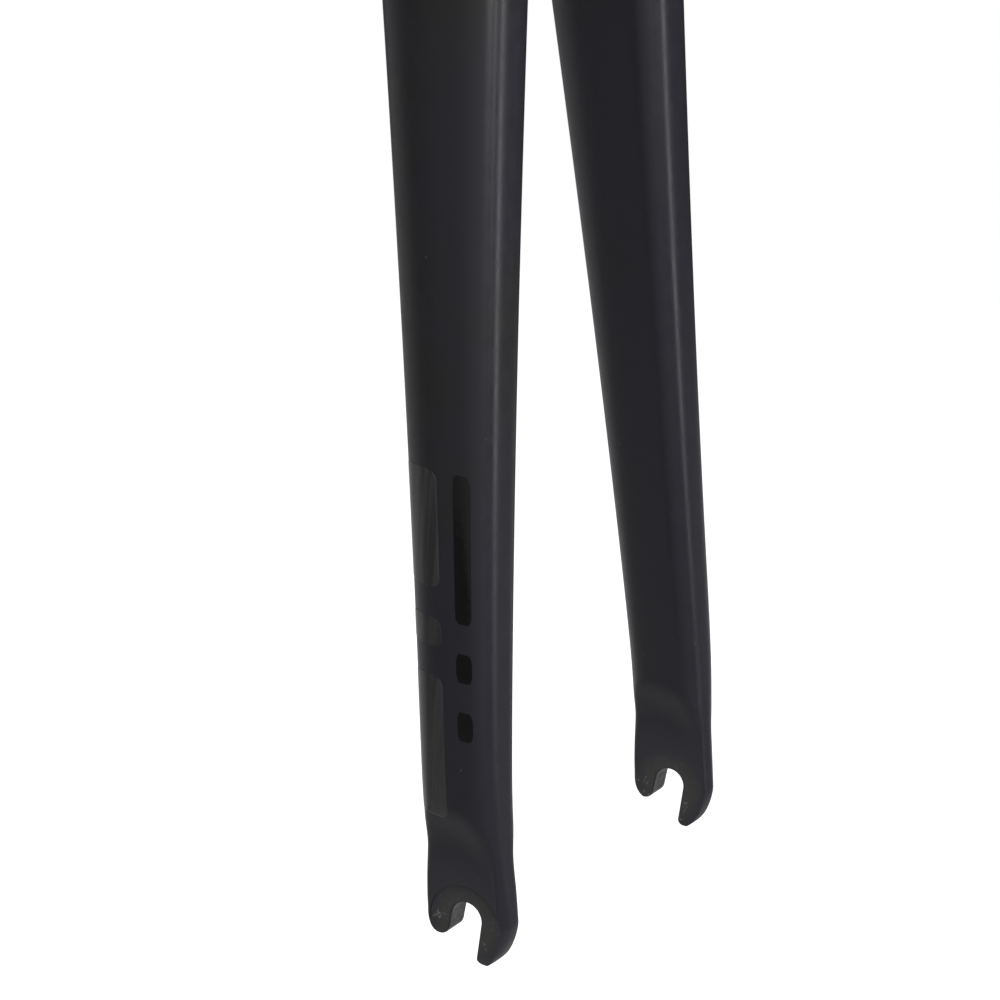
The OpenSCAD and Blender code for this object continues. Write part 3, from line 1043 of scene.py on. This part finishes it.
def seen_white(tree, direction):
    """1 for camera and transmission rays, and up to BACK_LEFT_WHITE for glossy rays behind the
    fork's back edges.
    """
    rays = tree.nodes.new("ShaderNodeLightPath")
    back = toward(tree, direction, BACK_LEFT, *BACK_LEFT_SPREAD)
    glossy = Measure(tree, rays.outputs["Is Glossy Ray"]) * back * BACK_LEFT_WHITE
    return Measure(tree, rays.outputs["Is Camera Ray"]).most(glossy).most(
        Measure(tree, rays.outputs["Is Transmission Ray"]))


tree, shader, place = paint(floor_paint)
colour = tint(between(speckle(tree, place, 3.0), 0.3, 0.7), FLOOR_GREY, FLOOR_PALE)
tree.links.new(colour, shader.inputs["Base Color"])
shader.inputs["Roughness"].default_value = FLOOR_ROUGHNESS
shader.inputs["Emission Color"].default_value = (1, 1, 1, 1)
glow = seen_white(tree, tree.nodes.new("ShaderNodeNewGeometry").outputs["Position"])
tree.links.new(glow.socket, shader.inputs["Emission Strength"])

world = bpy.data.worlds.new("studio")
bpy.context.scene.world = world
world.use_nodes = True
tree = world.node_tree
sky = tree.nodes["Background"]
SURROUNDINGS = (
    (UP, -0.2, 0.8, 0.06),
    ((BEHIND * 0.42 + LEFT * 0.91 - UP * 0.32).normalized(), 0.88, 0.97, 0.40),
    ((LEFT * 0.26 - BEHIND * 0.97).normalized(), 0.2, 1.0, 0.38),
    (BEHIND, -0.2, 0.8, 0.03),
)
direction = tree.nodes.new("ShaderNodeTexCoord").outputs["Generated"]
white = seen_white(tree, direction)
shade = sum(toward(tree, direction, aim, low, high) * share
            for aim, low, high, share in SURROUNDINGS)
tree.links.new(mix(shade, 1.0, white).socket, sky.inputs["Strength"])
sky.inputs["Color"].default_value = (1, 1, 1, 1)

LAMPS = {
    "front_left": ((-0.289, -0.477, 0.088), (0.22, 0.30), 1.5),
    "front_middle": ((-0.057, -1.198, 0.281), (0.25, 0.90), 3.2),
    "front_right": ((0.573, -1.042, -0.080), (0.22, 0.90), 2.3),
    "back_high": ((0.20, 1.30, 0.90), (0.8, 0.8), 9.0),
    "left_high": ((1.10, 0.40, 0.90), (0.8, 0.8), 7.0),
}
for name, (spot, spread, power) in LAMPS.items():
    lamp = bpy.data.lights.new(name, "AREA")
    lamp.shape = "RECTANGLE"
    lamp.size, lamp.size_y = spread
    lamp.energy = power
    holder = bpy.data.objects.new(name, lamp)
    holder.location = spot
    holder.rotation_euler = (Vector(spot) - CAMERA_TARGET).to_track_quat("Z", "Y").to_euler()
    bpy.context.scene.collection.objects.link(holder)

scene = bpy.context.scene
scene.view_settings.view_transform = "Standard"
